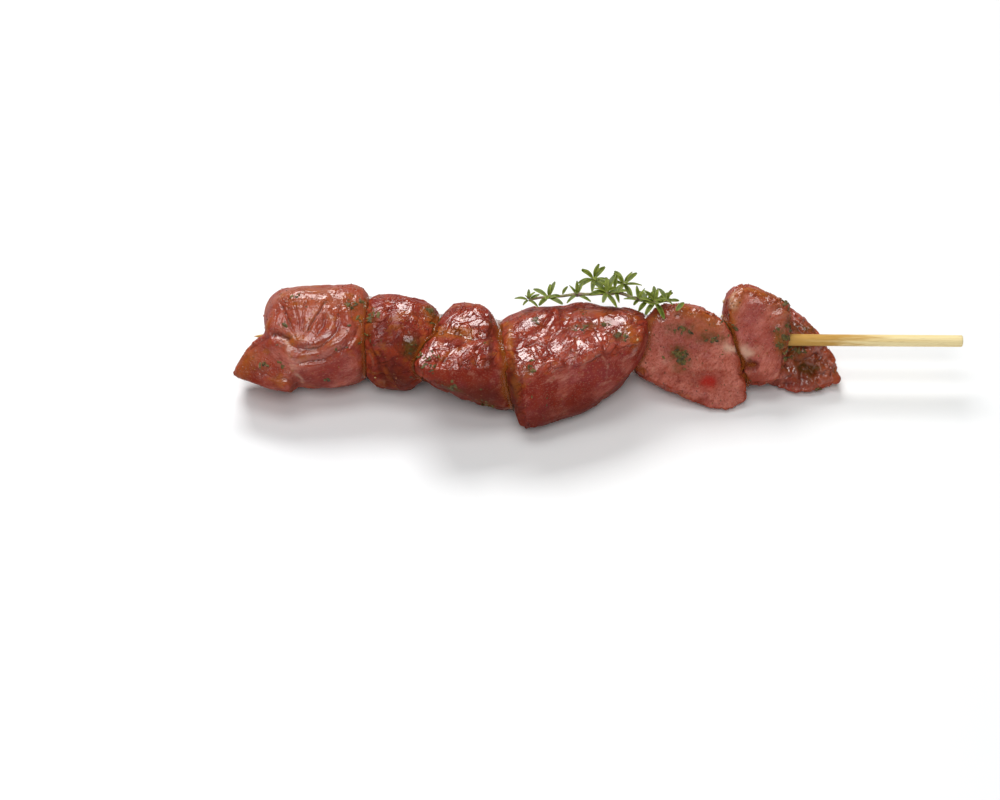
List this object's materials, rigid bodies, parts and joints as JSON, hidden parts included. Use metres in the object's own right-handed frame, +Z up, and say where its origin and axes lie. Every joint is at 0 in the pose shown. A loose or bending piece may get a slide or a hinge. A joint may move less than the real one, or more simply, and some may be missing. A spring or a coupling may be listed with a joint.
{
  "type": "pork souvlaki skewer",
  "caption": "Chunks of raw pork in an oily paprika and herb marinade, threaded on a round bamboo stick, with a sprig of thyme laid on top.",
  "frame": {"origin": "on the table, under the middle of the whole", "axes": "+X along the stick, from its point to its blunt end; +Z up from the table; +Y to the back"},
  "size_m": [0.1846, 0.0396, 0.027],
  "materials": {
    "bamboo": "dry, sanded bamboo with a fine straight grain",
    "pork": "wet raw meat under an oily red marinade",
    "thyme": "fresh matt green leaves"
  },
  "bodies": {
    "root": {"bamboo_stick": "bamboo", "pork_piece_1": "pork", "pork_piece_2": "pork", "pork_piece_3": "pork", "pork_piece_4": "pork", "pork_piece_5": "pork", "pork_piece_6": "pork", "thyme_sprig": "thyme"}
  },
  "joints": []
}
